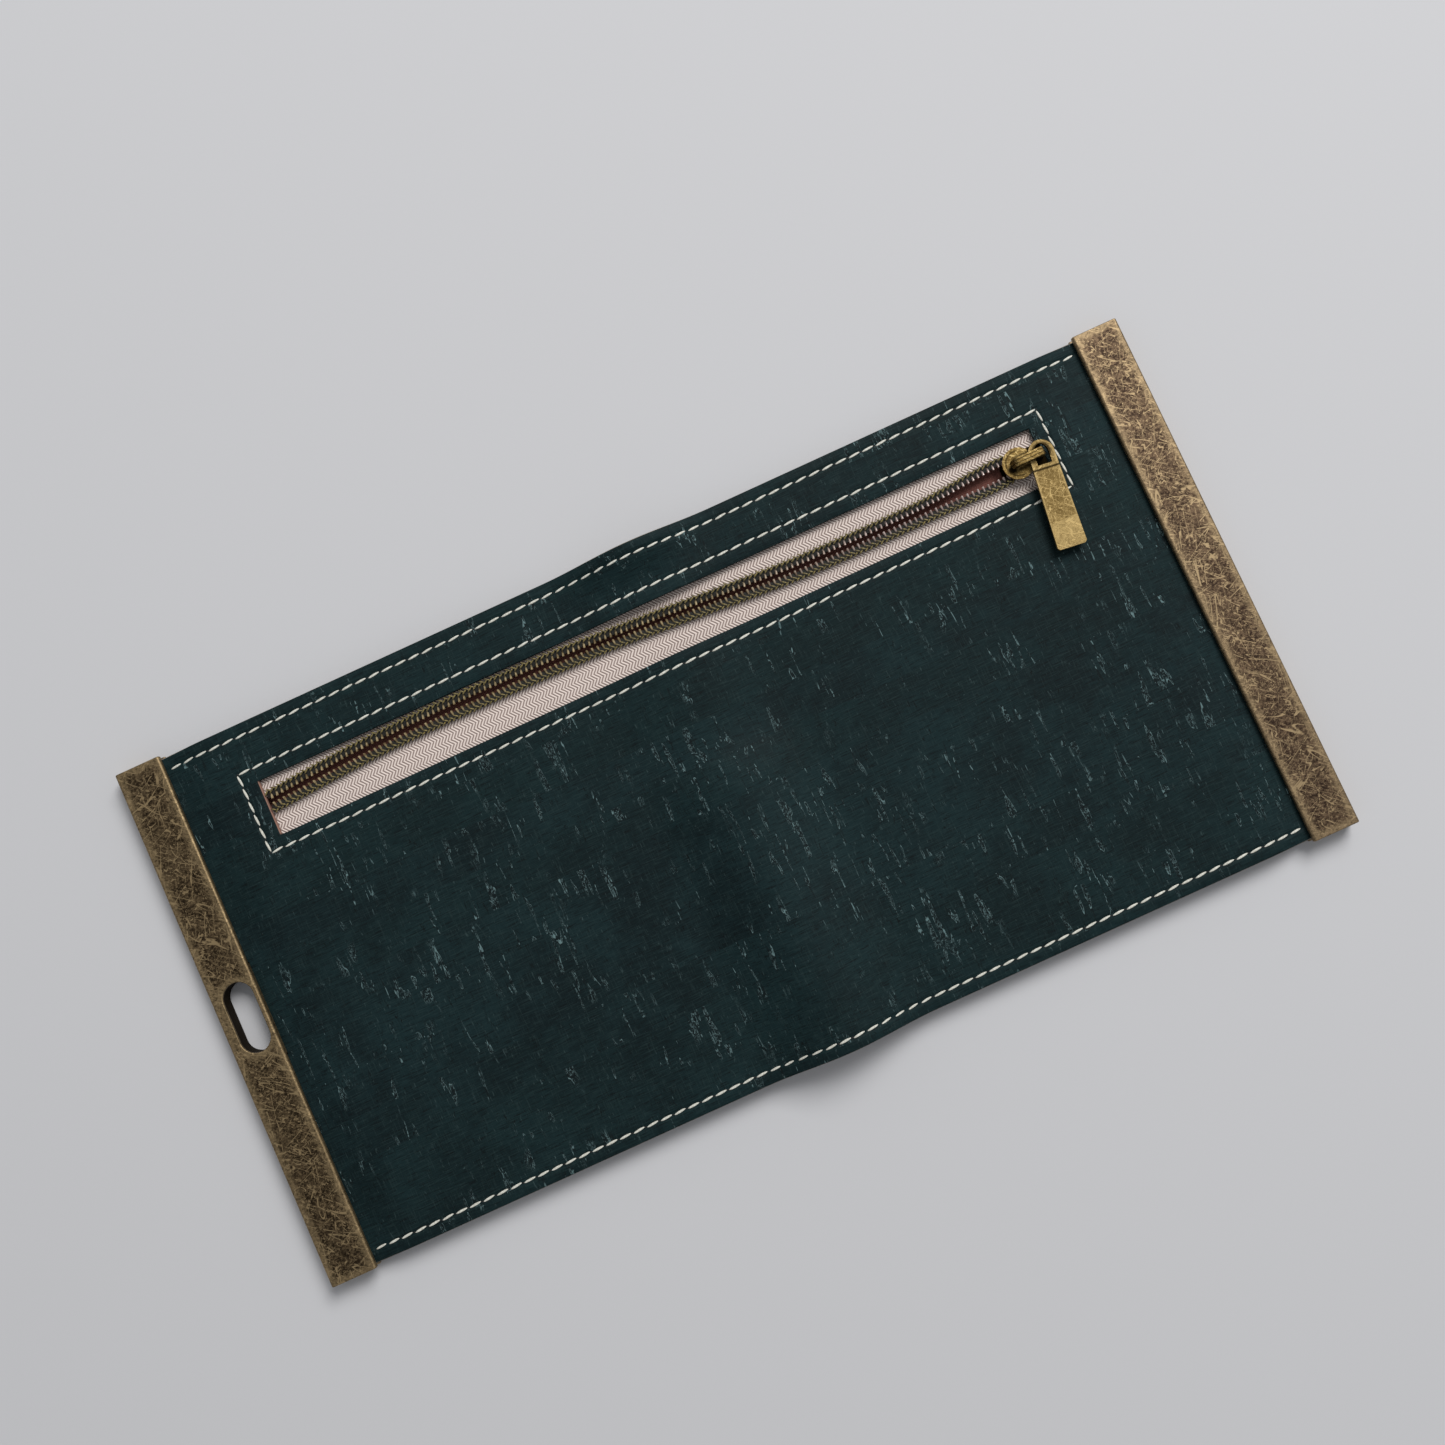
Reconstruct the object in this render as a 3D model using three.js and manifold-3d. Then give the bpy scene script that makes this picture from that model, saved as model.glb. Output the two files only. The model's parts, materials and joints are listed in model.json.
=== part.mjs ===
// A bifold cork wallet, lying open on a table with its outer side up. Millimetres, +Z up.
// X runs across the fold, Y runs along the fold towards the zip, and Z = 0 is the table.
// Between two metal bars lie, from the table up: card pockets, inner panel, pocket lining, zip, cork.
import * as THREE from "three";
import { mergeVertices } from "three/addons/utils/BufferGeometryUtils.js";
import Module from "manifold-3d";

const wasm = await Module();
wasm.setup();

// Metal bars along the two short ends
const OPEN_LENGTH = 203.2;
const BAR_LENGTH = 101.6;
const BAR_WIDTH = 8.9;
const BAR_THICKNESS = 4.0;
const BAR_CORNER = 0.5;
const GROOVE_DEPTH = 3.0;
const STRAP_SLOT_WIDTH = 5.8;
const STRAP_SLOT_LENGTH = 13.5;
const STRAP_SLOT_INSET = 5.0; // bar's outer edge to the slot's middle
const STRAP_SLOT_WEB = 2.4; // solid metal kept between the slot's end and the groove

// Sheets
const BAR_OVERHANG = 0.7; // each bar runs past the cork's long edges
const INNER_PANEL_MARGIN = 0.3; // the pale inner panel shows past the cork's long edges
const CORK = 0.9;
const INNER_PANEL = 0.35;
const POCKET_LINING = 0.2;
const CARD_POCKET = 0.35;
const CARD_POCKET_FOLD_GAP = 32; // fold to a card pocket's mouth
const SEAM_WIDTH = 4.5; // the sheets come together over this width along the long edges
const EASE_LENGTH = 8; // the sheets bend from the bar's groove to their full height over this length

// Rounded ridge that is left in the cork by folding
const FOLD_X = 2;
const FOLD_HALF_WIDTH = 17;
const FOLD_RISE_LOWER_EDGE = 4.4;
const FOLD_RISE_MIDDLE = 3.2;
const FOLD_RISE_ZIP = 1.0; // the stitched zip keeps the ridge flatter
const FOLD_RISE_UPPER_EDGE = 3.6;
const FOLD_RELIEF_START = 12; // Y where the ridge has come down to its height at the zip
const FOLD_RELIEF_END = 42;

// Zip window in the cork
const WINDOW_LEFT = -77.5;
const WINDOW_RIGHT = 78.5;
const WINDOW_BOTTOM = 28.0;
const WINDOW_TOP = 38.8;

// Zip
const TAPE = 0.3;
const TAPE_OVERLAP = 4.5; // tape that is sewn under the cork, past the window's edge
const COIL_WIDTH = 1.9;
const COIL_HEIGHT = 1.35;
const COIL_PITCH = 1.05;
const TOOTH_LENGTH = 0.85;
const TOOTH_WIDTH = 0.6;
const TAPE_END_MARGIN = 2.0; // the tapes run on under the cork past the window's ends

// Zip slider, drawn with its nose towards -X and its tail towards +X
const SLIDER_Y = 33.6;
const SLIDER_NOSE_X = 70.8;
const SLIDER_LENGTH = 7.9;
const SLIDER_NOSE_RADIUS = 2.95;
const SLIDER_TAIL_HALF_WIDTH = 2.0;
const SLIDER_PLATE = 0.6;
const SLIDER_LIP = 0.35;
const BRIDGE_WIDTH = 1.7;
const BRIDGE_THICKNESS = 0.8;
const BRIDGE_START = 1.5; // slider's nose to the bridge's front foot
const PULL_THICKNESS = 0.8;
const PULL_LENGTH = 15.2;
const PULL_NECK_WIDTH = 4.8;
const PULL_TIP_WIDTH = 5.5;
const PULL_CORNER = 0.4;
const PULL_EYE_WIDTH = 2.7;
const PULL_EYE_TOP = 1.6; // hinge to the far side of the eye
const PULL_EYE_BOTTOM = 2.3; // hinge to the near side of the eye
const PULL_NECK = 3.0; // hinge to the pull's full thickness
const PULL_LEAN = THREE.MathUtils.degToRad(6.8);

// Clearances
const TABLE_GAP = 0.1;
const SHEET_GAP = 0.18;
const SEWN_GAP = 0.3;
const RUNNING_GAP = 0.15;
const GROOVE_GAP = 0.15;
const SEAT_GAP = 0.2;
const EYE_GAP = 0.3;

// Heights of each layer's underside over the table, where the wallet is flat
const CARD_POCKET_Z = TABLE_GAP;
const INNER_PANEL_Z = CARD_POCKET_Z + CARD_POCKET + SHEET_GAP;
const POCKET_LINING_Z = INNER_PANEL_Z + INNER_PANEL + SHEET_GAP;
const SLIDER_Z = POCKET_LINING_Z + POCKET_LINING + RUNNING_GAP;
const TAPE_Z = SLIDER_Z + SLIDER_PLATE + SHEET_GAP;
const CORK_Z = TAPE_Z + TAPE + SEWN_GAP;
const COIL_Z = TAPE_Z + TAPE + SHEET_GAP;
const SLIDER_TOP_PLATE_Z = COIL_Z + COIL_HEIGHT + RUNNING_GAP;
const SLIDER_TOP_Z = SLIDER_TOP_PLATE_Z + SLIDER_PLATE;
const PULL_Z = Math.max(SLIDER_TOP_Z, CORK_Z + CORK + FOLD_RISE_ZIP) + EYE_GAP;
const BRIDGE_INNER_Z = PULL_Z + PULL_THICKNESS + EYE_GAP;

// Heights in the bars' grooves
const GROOVE_HEIGHT = INNER_PANEL + CORK + 3 * GROOVE_GAP;
const GROOVE_Z = (BAR_THICKNESS - GROOVE_HEIGHT) / 2;
const INNER_PANEL_GROOVE_Z = GROOVE_Z + GROOVE_GAP;
const CORK_GROOVE_Z = INNER_PANEL_GROOVE_Z + INNER_PANEL + GROOVE_GAP;

const BAR_FACE = OPEN_LENGTH / 2 - BAR_WIDTH;
const PANEL_END = BAR_FACE + GROOVE_DEPTH - SEAT_GAP;
const EASE_START = BAR_FACE - EASE_LENGTH;
const PANEL_HALF = BAR_LENGTH / 2 - BAR_OVERHANG;
const SEAM_START = PANEL_HALF - SEAM_WIDTH;
const SLOT_KEEP_OUT = STRAP_SLOT_LENGTH / 2 + STRAP_SLOT_WEB;
const BRIDGE_END = SLIDER_NOSE_X + SLIDER_LENGTH - SEAT_GAP;
const HINGE_X = BRIDGE_END - BRIDGE_THICKNESS / 2;

const metal = (color, roughness) => new THREE.MeshStandardMaterial({ color, roughness, metalness: 1 });
const cloth = (color, roughness) => new THREE.MeshStandardMaterial({ color, roughness, metalness: 0 });
const MATERIALS = {
  cork: cloth(0x1e2d2f, 0.72),
  innerPanel: cloth(0x8c8276, 0.9),
  pocketLining: cloth(0x7a4b40, 0.9),
  tape: cloth(0xae9d93, 0.9),
  coil: cloth(0x5a5532, 0.45),
  agedBrass: metal(0x6c5d49, 0.42),
  pullBrass: metal(0xb49861, 0.38),
};

// Solids and surfaces

function solidOf(geometry) {
  const bare = geometry.clone();
  bare.deleteAttribute("normal");
  bare.deleteAttribute("uv");
  const merged = mergeVertices(bare, 1e-4);
  return new wasm.Manifold(
    new wasm.Mesh({
      numProp: 3,
      vertProperties: merged.attributes.position.array,
      triVerts: new Uint32Array(merged.index.array),
    }),
  );
}

function geometryOf(solid) {
  const mesh = solid.getMesh();
  const geometry = new THREE.BufferGeometry();
  geometry.setAttribute("position", new THREE.BufferAttribute(mesh.vertProperties, 3));
  geometry.setIndex(new THREE.BufferAttribute(mesh.triVerts, 1));
  geometry.computeVertexNormals();
  return geometry;
}

const cut = (geometry, ...tools) =>
  geometryOf(tools.reduce((left, tool) => left.subtract(solidOf(tool)), solidOf(geometry)));

const join = (...geometries) =>
  geometryOf(geometries.map(solidOf).reduce((whole, piece) => whole.add(piece)));

function block([x0, y0, z0], [x1, y1, z1]) {
  const box = new THREE.BoxGeometry(x1 - x0, y1 - y0, z1 - z0);
  return box.translate((x0 + x1) / 2, (y0 + y1) / 2, (z0 + z1) / 2);
}

function plate(shape, thickness, z) {
  const solid = new THREE.ExtrudeGeometry(shape, { depth: thickness, bevelEnabled: false, curveSegments: 8 });
  return solid.translate(0, 0, z);
}

// Numbers from first to last, in equal steps no longer than step.
function steps(first, last, step) {
  const count = Math.ceil((last - first) / step);
  return Array.from({ length: count + 1 }, (_, i) => first + ((last - first) * i) / count);
}

// Joins lists of numbers into one rising list without repeats.
const lines = (...lists) =>
  [...new Set(lists.flat().map((value) => Number(value.toFixed(3))))].sort((a, b) => a - b);

const ease = THREE.MathUtils.smoothstep;
const mix = THREE.MathUtils.lerp;

// A sheet of even thickness over a grid. place(column, row) gives X, Y and the underside's Z.
function sheet(columns, rows, thickness, place) {
  const cells = [columns.length - 1, rows.length - 1];
  const slab = new THREE.BoxGeometry(...cells, 1, ...cells, 1);
  slab.translate(cells[0] / 2, cells[1] / 2, 0.5);
  const point = slab.attributes.position;
  for (let i = 0; i < point.count; i++) {
    const column = columns[Math.round(point.getX(i))];
    const row = rows[Math.round(point.getY(i))];
    const [x, y, z] = place(column, row);
    point.setXYZ(i, x, y, z + thickness * point.getZ(i));
  }
  return slab;
}

// Height of the fold's ridge along Y: flatter at the zip than at the edges.
function ridgeHeight(y, riseAtZip) {
  if (y < 0) return mix(FOLD_RISE_MIDDLE, FOLD_RISE_LOWER_EDGE, ease(-y, 0, PANEL_HALF));
  if (y < FOLD_RELIEF_END) return mix(FOLD_RISE_MIDDLE, riseAtZip, ease(y, 0, FOLD_RELIEF_START));
  return mix(riseAtZip, FOLD_RISE_UPPER_EDGE, ease(y, FOLD_RELIEF_END, PANEL_HALF));
}

function ridge(x, y, riseAtZip) {
  const across = Math.min(Math.abs(x - FOLD_X) / FOLD_HALF_WIDTH, 1);
  return (ridgeHeight(y, riseAtZip) * (1 + Math.cos(Math.PI * across))) / 2;
}

const nearBar = (x) => ease(Math.abs(x), EASE_START, BAR_FACE);
const nearSeam = (y) => ease(Math.abs(y), SEAM_START, PANEL_HALF - SEAM_WIDTH / 2);

// Undersides of the sheets

const corkUnderside = (x, y) => mix(CORK_Z + ridge(x, y, FOLD_RISE_ZIP), CORK_GROOVE_Z, nearBar(x));

function pocketLiningUnderside(x, y) {
  const flat = POCKET_LINING_Z + ridge(x, y, 0);
  const sewn = CORK_Z + ridge(x, y, FOLD_RISE_ZIP) - SHEET_GAP - POCKET_LINING;
  return mix(flat, sewn, nearSeam(y));
}

function innerPanelUnderside(x, y) {
  const below = SHEET_GAP + INNER_PANEL;
  const flat = INNER_PANEL_Z + ridge(x, y, 0);
  const sewn = pocketLiningUnderside(x, y) - below;
  return mix(mix(flat, sewn, nearSeam(y)), INNER_PANEL_GROOVE_Z, nearBar(x));
}

const cardPocketUnderside = (x, y) => innerPanelUnderside(x, y) - SHEET_GAP - CARD_POCKET;

// Grid lines that the sheets share
const FOLD_COLUMNS = steps(FOLD_X - FOLD_HALF_WIDTH, FOLD_X + FOLD_HALF_WIDTH, 2.9);
const EASE_COLUMNS = steps(EASE_START, BAR_FACE, 2);
const SEAM_ROWS = steps(SEAM_START, PANEL_HALF - SEAM_WIDTH / 2, 1.2);
const RELIEF_ROWS = steps(0, FOLD_RELIEF_START, 3);
const mirrored = (list) => list.map((value) => -value);

function panelColumns(end) {
  return lines([-end, end], FOLD_COLUMNS, EASE_COLUMNS, mirrored(EASE_COLUMNS));
}

function panelRows(half) {
  const edges = [PANEL_HALF - INNER_PANEL_MARGIN, PANEL_HALF, PANEL_HALF + INNER_PANEL_MARGIN];
  const seams = lines(SEAM_ROWS, edges).filter((row) => row <= half + 1e-6);
  return lines(mirrored(seams), seams, RELIEF_ROWS, [-25, WINDOW_BOTTOM, WINDOW_TOP, FOLD_RELIEF_END]);
}

// The slotted bar's groove stops beside its slot, so the sheets in it are notched there.
function slotNotch() {
  return block([-PANEL_END - 1, -SLOT_KEEP_OUT, -1], [-BAR_FACE + SEAT_GAP, SLOT_KEEP_OUT, 2 * BAR_THICKNESS]);
}

function outerPanel() {
  const cork = sheet(panelColumns(PANEL_END), panelRows(PANEL_HALF), CORK, (x, y) => [x, y, corkUnderside(x, y)]);
  const zipWindow = block([WINDOW_LEFT, WINDOW_BOTTOM, -1], [WINDOW_RIGHT, WINDOW_TOP, 4 * BAR_THICKNESS]);
  return cut(cork, zipWindow, slotNotch());
}

function innerPanel() {
  const rows = panelRows(PANEL_HALF + INNER_PANEL_MARGIN);
  const place = (x, y) => [x, y, innerPanelUnderside(x, y)];
  return cut(sheet(panelColumns(PANEL_END), rows, INNER_PANEL, place), slotNotch());
}

function pocketLining() {
  const columns = lines([-EASE_START, EASE_START], FOLD_COLUMNS);
  const place = (x, y) => [x, y, pocketLiningUnderside(x, y)];
  return sheet(columns, panelRows(PANEL_HALF - INNER_PANEL_MARGIN), POCKET_LINING, place);
}

// side is -1 for the half with the slotted bar and 1 for the other.
function cardPocket(side) {
  const columns = lines([CARD_POCKET_FOLD_GAP, BAR_FACE - SEAT_GAP], EASE_COLUMNS.slice(0, -1));
  const placed = side > 0 ? columns : mirrored(columns).reverse();
  const seams = lines(SEAM_ROWS, [PANEL_HALF]);
  const place = (x, y) => [x, y, cardPocketUnderside(x, y)];
  return sheet(placed, lines(mirrored(seams), seams), CARD_POCKET, place);
}

// Zip chain. The two halves lie side by side, part a little at the open mouth, and close in the slider.
// It stays flat under the ridge, so that the slider runs straight.
const CHAIN_LEFT = WINDOW_LEFT - TAPE_END_MARGIN;
const CHAIN_RIGHT = WINDOW_RIGHT + TAPE_END_MARGIN;
const CLOSED_HALF = (COIL_WIDTH + SEWN_GAP) / 2;
const OPEN_HALF = 1.9;
const LOWER_MOUTH = [[CHAIN_LEFT, 33.0], [-50, 34.7], [-12, 34.6], [5, 33.6], [30, 31.9], [61, 31.7]];
const UPPER_MOUTH = [[CHAIN_LEFT, 35.5], [-56, 37.2], [-22, 37.4], [0, 36.3], [14, 35.3], [30, 34.4], [54, 34.3]];

function chainPath(mouth, side) {
  const inSlider = [
    [SLIDER_NOSE_X + 0.2, SLIDER_Y + side * OPEN_HALF],
    [SLIDER_NOSE_X + 3.2, SLIDER_Y + side * CLOSED_HALF],
    [CHAIN_RIGHT, SLIDER_Y + side * CLOSED_HALF],
  ];
  const points = [...mouth, ...inSlider].map(([x, y]) => new THREE.Vector3(x, y, 0));
  return new THREE.CatmullRomCurve3(points, false, "centripetal");
}

const LOWER_PATH = chainPath(LOWER_MOUTH, -1);
const UPPER_PATH = chainPath(UPPER_MOUTH, 1);

// One half of the chain: a strip with a comb of teeth on the side that meets the other half.
function coil(path, side) {
  const length = path.getLength();
  const first = (TAPE_END_MARGIN + SHEET_GAP) / length;
  const last = 1 - first;
  const count = Math.round((length * (last - first)) / COIL_PITCH);
  const back = [];
  const comb = [];
  const offset = (share, by) => {
    const u = mix(first, last, share);
    const [point, along] = [path.getPointAt(u), path.getTangentAt(u)];
    return [point.x - along.y * by, point.y + along.x * by];
  };
  for (const share of steps(0, 1, 4 / count)) back.push(offset(share, (side * COIL_WIDTH) / 2));
  const head = (-side * COIL_WIDTH) / 2;
  const root = head + side * TOOTH_LENGTH;
  const half = TOOTH_WIDTH / COIL_PITCH / 2;
  for (let i = 0; i < count; i++) {
    for (const [step, by] of [[0.5 - half, root], [0.5 - half, head], [0.5 + half, head], [0.5 + half, root]]) {
      comb.push(offset((i + step) / count, by));
    }
  }
  const outline = [...back, ...comb.reverse()].map(([x, y]) => new THREE.Vector2(x, y));
  return plate(new THREE.Shape(outline), COIL_HEIGHT, COIL_Z);
}

// Tape from the middle of its coil to under the cork past the window's edge.
function tape(path, edge) {
  const shares = steps(0, 1, 1 / 44);
  const place = (u, across) => {
    const middle = path.getPoint(u);
    return [middle.x, mix(middle.y, edge, across), TAPE_Z];
  };
  const rows = edge > SLIDER_Y ? [0, 1] : [1, 0];
  return sheet(shares, rows, TAPE, place);
}

// Metal bars

function barProfile() {
  const shape = new THREE.Shape();
  const [w, h, r] = [BAR_WIDTH, BAR_THICKNESS, BAR_CORNER];
  shape.absarc(w - r, r, r, -Math.PI / 2, 0);
  shape.absarc(w - r, h - r, r, 0, Math.PI / 2);
  shape.absarc(r, h - r, r, Math.PI / 2, Math.PI);
  shape.absarc(r, r, r, Math.PI, 1.5 * Math.PI);
  return shape;
}

// The profile lies in X and Z. Extruded and turned up, it runs along Y.
function barBlank(outerX) {
  const options = { depth: BAR_LENGTH, bevelEnabled: false, curveSegments: 3 };
  const bar = new THREE.ExtrudeGeometry(barProfile(), options).rotateX(Math.PI / 2);
  return bar.translate(Math.min(outerX, BAR_FACE), BAR_LENGTH / 2, 0);
}

function groove(side, y0, y1) {
  const inner = side * (BAR_FACE - 1);
  const deep = side * (BAR_FACE + GROOVE_DEPTH);
  return block(
    [Math.min(inner, deep), y0, GROOVE_Z],
    [Math.max(inner, deep), y1, GROOVE_Z + GROOVE_HEIGHT],
  );
}

function strapSlot() {
  const radius = STRAP_SLOT_WIDTH / 2;
  const straight = STRAP_SLOT_LENGTH / 2 - radius;
  const shape = new THREE.Shape();
  shape.absarc(0, straight, radius, 0, Math.PI);
  shape.absarc(0, -straight, radius, Math.PI, 2 * Math.PI);
  return plate(shape, 3 * BAR_THICKNESS, -BAR_THICKNESS).translate(-OPEN_LENGTH / 2 + STRAP_SLOT_INSET, 0, 0);
}

function leftBar() {
  const end = BAR_LENGTH / 2 + 1;
  const grooves = [groove(-1, -end, -SLOT_KEEP_OUT + SEAT_GAP), groove(-1, SLOT_KEEP_OUT - SEAT_GAP, end)];
  return cut(barBlank(-OPEN_LENGTH / 2), ...grooves, strapSlot());
}

const rightBar = () => cut(barBlank(OPEN_LENGTH), groove(1, -BAR_LENGTH / 2 - 1, BAR_LENGTH / 2 + 1));

// Zip slider

function sliderOutline() {
  const centre = SLIDER_NOSE_X + SLIDER_NOSE_RADIUS;
  const tail = SLIDER_NOSE_X + SLIDER_LENGTH;
  const shoulder = Math.asin(SLIDER_TAIL_HALF_WIDTH / SLIDER_NOSE_RADIUS);
  const shape = new THREE.Shape();
  shape.absarc(centre, SLIDER_Y, SLIDER_NOSE_RADIUS, shoulder, 2 * Math.PI - shoulder);
  shape.lineTo(tail, SLIDER_Y - SLIDER_TAIL_HALF_WIDTH);
  shape.lineTo(tail, SLIDER_Y + SLIDER_TAIL_HALF_WIDTH);
  return shape;
}

// The post between the plates parts the chain. It is pointed towards the tail.
function sliderPost() {
  const shape = new THREE.Shape([
    new THREE.Vector2(SLIDER_NOSE_X + 0.1, SLIDER_Y),
    new THREE.Vector2(SLIDER_NOSE_X + 0.7, SLIDER_Y - 0.4),
    new THREE.Vector2(SLIDER_NOSE_X + 1.6, SLIDER_Y),
    new THREE.Vector2(SLIDER_NOSE_X + 0.7, SLIDER_Y + 0.4),
  ]);
  const sink = SLIDER_PLATE / 2;
  return plate(shape, SLIDER_TOP_PLATE_Z - SLIDER_Z, SLIDER_Z + sink);
}

function sliderBody() {
  const outline = sliderOutline();
  const lipBottom = TAPE_Z + TAPE + SHEET_GAP;
  const lipStart = SLIDER_NOSE_X + SLIDER_NOSE_RADIUS;
  const lips = [-1, 1].map((side) => {
    const outer = SLIDER_Y + side * (CLOSED_HALF + COIL_WIDTH / 2 + RUNNING_GAP + SLIDER_LIP);
    const inner = outer - side * SLIDER_LIP;
    return block(
      [lipStart, Math.min(inner, outer), lipBottom],
      [lipStart + 1.6, Math.max(inner, outer), SLIDER_TOP_PLATE_Z + SLIDER_PLATE / 2],
    );
  });
  const lower = plate(outline, SLIDER_PLATE, SLIDER_Z);
  const upper = plate(outline, SLIDER_PLATE, SLIDER_TOP_PLATE_Z);
  return join(lower, sliderPost(), upper, ...lips);
}

// A bent strip that arches over the pull's eye, drawn from the side and extruded across.
function sliderBridge() {
  const start = SLIDER_NOSE_X + BRIDGE_START;
  const foot = SLIDER_TOP_Z + SEAT_GAP / 2;
  const top = BRIDGE_INNER_Z + BRIDGE_THICKNESS;
  const t = BRIDGE_THICKNESS;
  const side = new THREE.Shape([
    new THREE.Vector2(start, foot),
    new THREE.Vector2(start + t, foot),
    new THREE.Vector2(start + 1.9 * t, BRIDGE_INNER_Z),
    new THREE.Vector2(BRIDGE_END - t, BRIDGE_INNER_Z),
    new THREE.Vector2(BRIDGE_END - t, foot),
    new THREE.Vector2(BRIDGE_END, foot),
    new THREE.Vector2(BRIDGE_END, top - 0.3),
    new THREE.Vector2(BRIDGE_END - 0.3, top),
    new THREE.Vector2(start + 1.4 * t, top),
    new THREE.Vector2(start + 0.6 * t, top - 0.4),
  ]);
  const options = { depth: BRIDGE_WIDTH, bevelEnabled: false };
  const arch = new THREE.ExtrudeGeometry(side, options).rotateX(Math.PI / 2);
  return arch.translate(0, SLIDER_Y + BRIDGE_WIDTH / 2, 0);
}

// The pull hangs towards -Y from the bridge's rear leg. Its own origin is the hinge.
function pullTab() {
  const half = PULL_NECK_WIDTH / 2;
  const tip = -PULL_NECK - PULL_LENGTH;
  const tipHalf = PULL_TIP_WIDTH / 2;
  const c = PULL_CORNER;
  const shape = new THREE.Shape();
  shape.moveTo(half, -0.2);
  shape.absellipse(0, -0.2, half, PULL_EYE_TOP + 0.9, 0, Math.PI);
  shape.lineTo(-half, -PULL_NECK);
  shape.lineTo(-tipHalf, tip + c);
  shape.lineTo(-tipHalf + c, tip);
  shape.lineTo(tipHalf - c, tip);
  shape.lineTo(tipHalf, tip + c);
  shape.lineTo(half, -PULL_NECK);
  const eye = new THREE.Path();
  eye.moveTo(PULL_EYE_WIDTH / 2, -0.2);
  eye.absellipse(0, -0.2, PULL_EYE_WIDTH / 2, PULL_EYE_TOP + 0.2, 0, Math.PI);
  eye.lineTo(-PULL_EYE_WIDTH / 2, -PULL_EYE_BOTTOM);
  eye.lineTo(PULL_EYE_WIDTH / 2, -PULL_EYE_BOTTOM);
  shape.holes.push(eye);
  return plate(shape, PULL_THICKNESS, 0);
}

// Scene graph

function piece(name, geometry, material) {
  const mesh = new THREE.Mesh(geometry, material);
  mesh.name = name;
  return mesh;
}

function pull() {
  const group = new THREE.Group();
  group.position.set(HINGE_X, SLIDER_Y, PULL_Z);
  group.rotation.z = -PULL_LEAN;
  group.add(piece("pull_tab", pullTab(), MATERIALS.pullBrass));
  return group;
}

const wallet = new THREE.Group();
wallet.name = "cork_wallet";
wallet.add(
  piece("bar_left", leftBar(), MATERIALS.agedBrass),
  piece("bar_right", rightBar(), MATERIALS.agedBrass),
  piece("outer_panel", outerPanel(), MATERIALS.cork),
  piece("inner_panel", innerPanel(), MATERIALS.innerPanel),
  piece("pocket_lining", pocketLining(), MATERIALS.pocketLining),
  piece("card_pocket_left", cardPocket(-1), MATERIALS.innerPanel),
  piece("card_pocket_right", cardPocket(1), MATERIALS.innerPanel),
  piece("zipper_tape_upper", tape(UPPER_PATH, WINDOW_TOP + TAPE_OVERLAP), MATERIALS.tape),
  piece("zipper_tape_lower", tape(LOWER_PATH, WINDOW_BOTTOM - TAPE_OVERLAP), MATERIALS.tape),
  piece("zipper_coil_upper", coil(UPPER_PATH, 1), MATERIALS.coil),
  piece("zipper_coil_lower", coil(LOWER_PATH, -1), MATERIALS.coil),
  piece("slider_body", sliderBody(), MATERIALS.pullBrass),
  piece("slider_bridge", sliderBridge(), MATERIALS.pullBrass),
  pull(),
);

export default wallet;
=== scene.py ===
import json
import math
import random

import bmesh
import bpy
from mathutils import Matrix, Vector

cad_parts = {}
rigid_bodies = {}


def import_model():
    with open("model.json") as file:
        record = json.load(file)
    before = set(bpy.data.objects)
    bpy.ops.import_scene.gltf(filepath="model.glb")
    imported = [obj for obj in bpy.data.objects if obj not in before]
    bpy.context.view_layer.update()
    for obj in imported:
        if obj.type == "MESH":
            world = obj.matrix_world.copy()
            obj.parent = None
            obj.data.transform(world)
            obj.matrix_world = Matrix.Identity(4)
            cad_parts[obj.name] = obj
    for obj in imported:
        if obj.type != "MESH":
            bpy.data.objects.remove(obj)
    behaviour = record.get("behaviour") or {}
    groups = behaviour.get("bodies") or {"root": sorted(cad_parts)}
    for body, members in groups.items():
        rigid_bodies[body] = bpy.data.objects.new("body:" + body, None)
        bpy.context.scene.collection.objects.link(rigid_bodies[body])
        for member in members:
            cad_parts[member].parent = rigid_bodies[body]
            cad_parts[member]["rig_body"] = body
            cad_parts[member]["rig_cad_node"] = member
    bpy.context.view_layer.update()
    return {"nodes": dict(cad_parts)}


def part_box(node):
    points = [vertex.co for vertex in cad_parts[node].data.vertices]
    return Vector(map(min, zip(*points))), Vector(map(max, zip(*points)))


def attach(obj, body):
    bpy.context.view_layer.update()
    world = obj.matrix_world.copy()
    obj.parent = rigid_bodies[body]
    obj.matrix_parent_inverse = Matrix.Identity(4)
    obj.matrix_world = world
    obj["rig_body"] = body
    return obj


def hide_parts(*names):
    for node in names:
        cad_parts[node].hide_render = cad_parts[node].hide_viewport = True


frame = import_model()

MM = 0.001

# Sizes of the wallet in millimetres, read from the frame where a node has them
OPEN_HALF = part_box("bar_right")[1].x / MM
BAR_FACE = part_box("bar_right")[0].x / MM
BAR_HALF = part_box("bar_right")[1].y / MM
BAR_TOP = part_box("bar_right")[1].z / MM
PANEL_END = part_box("outer_panel")[1].x / MM
PANEL_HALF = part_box("outer_panel")[1].y / MM
LINING_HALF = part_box("pocket_lining")[1].y / MM
INNER_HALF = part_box("inner_panel")[1].y / MM
EASE_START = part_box("pocket_lining")[1].x / MM
SLOT_FROM_END = 5.0
SLOT_X = -OPEN_HALF + SLOT_FROM_END
SLOT_RADIUS = 2.9
SLOT_STRAIGHT = 3.85
SLOT_KEEP_OUT = 9.15
BAR_FACE_GAP = 0.02
CARD_POCKET_GAP = 0.2
CORK, INNER_PANEL, POCKET_LINING, CARD_POCKET, TAPE = 0.9, 0.35, 0.2, 0.35, 0.3
SHEET_GAP, TAPE_GAP = 0.18, 0.3
CARD_MOUTH = 32
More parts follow.
